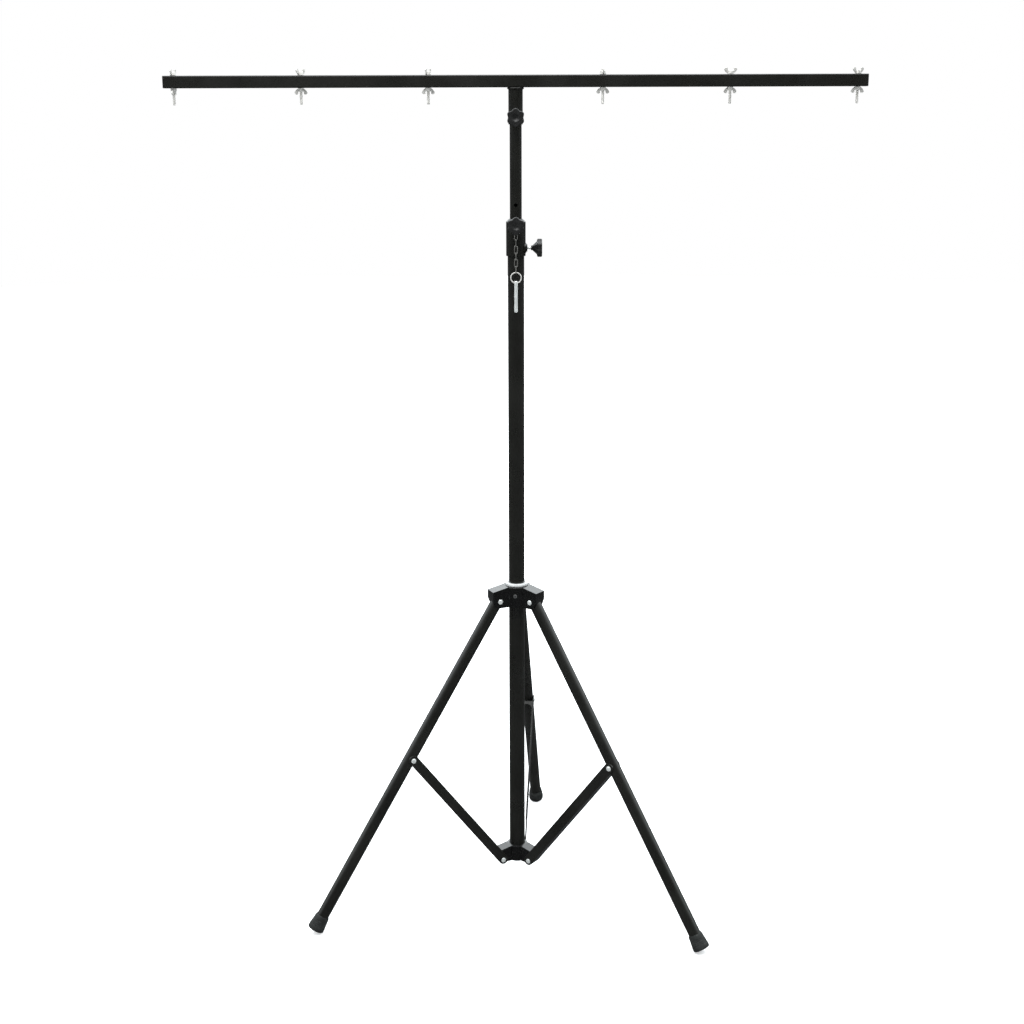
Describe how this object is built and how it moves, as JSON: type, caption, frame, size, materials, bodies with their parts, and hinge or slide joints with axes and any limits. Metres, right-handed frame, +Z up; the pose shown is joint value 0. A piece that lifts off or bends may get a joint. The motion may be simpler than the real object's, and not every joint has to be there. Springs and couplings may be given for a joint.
{
  "type": "lighting stand",
  "caption": "Black folding lighting stand: tripod with braced legs, telescopic mast with clamp collar and pin, and a square crossbar with wing bolts.",
  "frame": {"origin": "on the floor, under the middle of the box around the whole stand", "axes": "+Z up along the mast, X along the crossbar, -Y towards the side with the knobs"},
  "size_m": [1.45, 0.8124, 1.8566],
  "materials": {
    "black_coat": "satin powder coat",
    "black_plastic": "moulded, slight sheen",
    "black_rubber": "matt",
    "pale_nylon": "smooth moulded nylon",
    "zinc_plate": "bright zinc plate",
    "bright_steel": "plain steel"
  },
  "bodies": {
    "mast": {"outer_tube": "black_coat", "lower_collar": "black_coat", "mast_end_plug": "black_plastic", "clamp_collar": "black_coat", "clamp_bush": "black_plastic", "chain_screw": "bright_steel"},
    "inner_mast": {"inner_tube": "black_coat", "inner_guide": "black_plastic"},
    "crossbar": {"crossbar": "black_coat", "crossbar_socket": "black_coat", "crossbar_cap_left": "black_plastic", "crossbar_cap_right": "black_plastic"},
    "hub": {"hub": "black_coat", "hub_bush": "pale_nylon", "hub_rivet_1": "zinc_plate", "hub_rivet_2": "zinc_plate", "hub_rivet_3": "zinc_plate"},
    "hub_screw": {"hub_lock_screw": "zinc_plate"},
    "side_knob": {"side_clamp_knob": "black_plastic"},
    "front_knob": {"front_clamp_knob": "black_plastic"},
    "socket_knob": {"crossbar_knob": "black_plastic"},
    "chain": {"chain_link_1": "bright_steel", "chain_link_2": "bright_steel", "chain_link_3": "bright_steel", "chain_link_4": "bright_steel", "chain_link_5": "bright_steel", "chain_link_6": "bright_steel"},
    "pin": {"pin_ring": "bright_steel", "safety_pin": "bright_steel"},
    "bolt_1": {"fixture_bolt_1": "zinc_plate"},
    "nut_1": {"wing_nut_1": "zinc_plate"},
    "bolt_2": {"fixture_bolt_2": "zinc_plate"},
    "nut_2": {"wing_nut_2": "zinc_plate"},
    "bolt_3": {"fixture_bolt_3": "zinc_plate"},
    "nut_3": {"wing_nut_3": "zinc_plate"},
    "bolt_4": {"fixture_bolt_4": "zinc_plate"},
    "nut_4": {"wing_nut_4": "zinc_plate"},
    "bolt_5": {"fixture_bolt_5": "zinc_plate"},
    "nut_5": {"wing_nut_5": "zinc_plate"},
    "bolt_6": {"fixture_bolt_6": "zinc_plate"},
    "nut_6": {"wing_nut_6": "zinc_plate"},
    "leg_1": {"leg_tube_1": "black_coat", "leg_foot_1": "black_rubber", "leg_rivet_1": "zinc_plate"},
    "brace_1": {"brace_1": "black_coat", "lower_rivet_head_1": "zinc_plate", "lower_rivet_tail_1": "zinc_plate"},
    "leg_2": {"leg_tube_2": "black_coat", "leg_foot_2": "black_rubber", "leg_rivet_2": "zinc_plate"},
    "brace_2": {"brace_2": "black_coat", "lower_rivet_head_2": "zinc_plate", "lower_rivet_tail_2": "zinc_plate"},
    "leg_3": {"leg_tube_3": "black_coat", "leg_foot_3": "black_rubber", "leg_rivet_3": "zinc_plate"},
    "brace_3": {"brace_3": "black_coat", "lower_rivet_head_3": "zinc_plate", "lower_rivet_tail_3": "zinc_plate"}
  },
  "joints": [
    {"name": "mast_extend", "type": "slide", "parent": "mast", "child": "inner_mast", "axis": [0, 0, 1], "range_m": [-0.176, 1.1]},
    {"name": "crossbar_swivel", "type": "hinge", "parent": "inner_mast", "child": "crossbar", "pos_m": [0, -0.09926, 1.818], "axis": [0, 0, 1], "continuous": true},
    {"name": "side_knob_turn", "type": "hinge", "parent": "mast", "child": "side_knob", "pos_m": [0, -0.09926, 1.4908], "axis": [1, 0, 0], "range_deg": [0, 720]},
    {"name": "front_knob_turn", "type": "hinge", "parent": "mast", "child": "front_knob", "pos_m": [0, -0.09926, 1.5392], "axis": [0, -1, 0], "range_deg": [0, 720]},
    {"name": "socket_knob_turn", "type": "hinge", "parent": "crossbar", "child": "socket_knob", "pos_m": [0, -0.09926, 1.758], "axis": [0, -1, 0], "range_deg": [0, 720]},
    {"name": "bolt_turn_1", "type": "hinge", "parent": "crossbar", "child": "bolt_1", "pos_m": [-0.705, -0.09926, 1.8436], "axis": [0, 0, 1], "continuous": true},
    {"name": "nut_turn_1", "type": "hinge", "parent": "bolt_1", "child": "nut_1", "pos_m": [-0.705, -0.09926, 1.818], "axis": [0, 0, 1], "continuous": true},
    {"name": "bolt_turn_2", "type": "hinge", "parent": "crossbar", "child": "bolt_2", "pos_m": [-0.4425, -0.09926, 1.8436], "axis": [0, 0, 1], "continuous": true},
    {"name": "nut_turn_2", "type": "hinge", "parent": "bolt_2", "child": "nut_2", "pos_m": [-0.4425, -0.09926, 1.818], "axis": [0, 0, 1], "continuous": true},
    {"name": "bolt_turn_3", "type": "hinge", "parent": "crossbar", "child": "bolt_3", "pos_m": [-0.18, -0.09926, 1.8436], "axis": [0, 0, 1], "continuous": true},
    {"name": "nut_turn_3", "type": "hinge", "parent": "bolt_3", "child": "nut_3", "pos_m": [-0.18, -0.09926, 1.818], "axis": [0, 0, 1], "continuous": true},
    {"name": "bolt_turn_4", "type": "hinge", "parent": "crossbar", "child": "bolt_4", "pos_m": [0.18, -0.09926, 1.8436], "axis": [0, 0, 1], "continuous": true},
    {"name": "nut_turn_4", "type": "hinge", "parent": "bolt_4", "child": "nut_4", "pos_m": [0.18, -0.09926, 1.818], "axis": [0, 0, 1], "continuous": true},
    {"name": "bolt_turn_5", "type": "hinge", "parent": "crossbar", "child": "bolt_5", "pos_m": [0.4425, -0.09926, 1.8436], "axis": [0, 0, 1], "continuous": true},
    {"name": "nut_turn_5", "type": "hinge", "parent": "bolt_5", "child": "nut_5", "pos_m": [0.4425, -0.09926, 1.818], "axis": [0, 0, 1], "continuous": true},
    {"name": "bolt_turn_6", "type": "hinge", "parent": "crossbar", "child": "bolt_6", "pos_m": [0.705, -0.09926, 1.8436], "axis": [0, 0, 1], "continuous": true},
    {"name": "nut_turn_6", "type": "hinge", "parent": "bolt_6", "child": "nut_6", "pos_m": [0.705, -0.09926, 1.818], "axis": [0, 0, 1], "continuous": true},
    {"name": "hub_slide", "type": "slide", "parent": "mast", "child": "hub", "axis": [0, 0, 1], "range_m": [0, 0.13246]},
    {"name": "hub_screw_turn", "type": "hinge", "parent": "hub", "child": "hub_screw", "pos_m": [0, -0.09926, 0.72951], "axis": [-0.1045, -0.9945, 0], "range_deg": [0, 720]},
    {"name": "leg_fold_1", "type": "hinge", "parent": "hub", "child": "leg_1", "pos_m": [0.00486, -0.05301, 0.71701], "axis": [-0.9945, 0.1045, 0], "range_deg": [0, 30.77]},
    {"name": "brace_fold_1", "type": "hinge", "parent": "leg_1", "child": "brace_1", "pos_m": [0.02697, 0.15738, 0.37516], "axis": [0.9945, -0.1045, 0], "range_deg": [0, 66.05]},
    {"name": "leg_fold_2", "type": "hinge", "parent": "hub", "child": "leg_2", "pos_m": [-0.04248, -0.11817, 0.71701], "axis": [0.4067, -0.9135, 0], "range_deg": [0, 30.77]},
    {"name": "brace_fold_2", "type": "hinge", "parent": "leg_2", "child": "brace_2", "pos_m": [-0.23574, -0.20422, 0.37516], "axis": [-0.4067, 0.9135, 0], "range_deg": [0, 66.05]},
    {"name": "leg_fold_3", "type": "hinge", "parent": "hub", "child": "leg_3", "pos_m": [0.03762, -0.12659, 0.71701], "axis": [0.5878, 0.809, 0], "range_deg": [0, 30.77]},
    {"name": "brace_fold_3", "type": "hinge", "parent": "leg_3", "child": "brace_3", "pos_m": [0.20877, -0.25094, 0.37516], "axis": [-0.5878, -0.809, 0], "range_deg": [0, 66.05]},
    {"name": "chain_swing", "type": "hinge", "parent": "mast", "child": "chain", "pos_m": [0, -0.12416, 1.5222], "axis": [0, 1, 0], "range_deg": [-75, 75]},
    {"name": "pin_swing", "type": "hinge", "parent": "chain", "child": "pin", "pos_m": [0, -0.12416, 1.4387], "axis": [0, 1, 0], "range_deg": [-60, 60]}
  ],
  "couplings": [
    {"joint": "leg_fold_1", "follows": "hub_slide", "rad_per_m": 4.0516},
    {"joint": "brace_fold_1", "follows": "hub_slide", "rad_per_m": 8.6997},
    {"joint": "leg_fold_2", "follows": "hub_slide", "rad_per_m": 4.0516},
    {"joint": "brace_fold_2", "follows": "hub_slide", "rad_per_m": 8.6997},
    {"joint": "leg_fold_3", "follows": "hub_slide", "rad_per_m": 4.0516},
    {"joint": "brace_fold_3", "follows": "hub_slide", "rad_per_m": 8.6997}
  ]
}
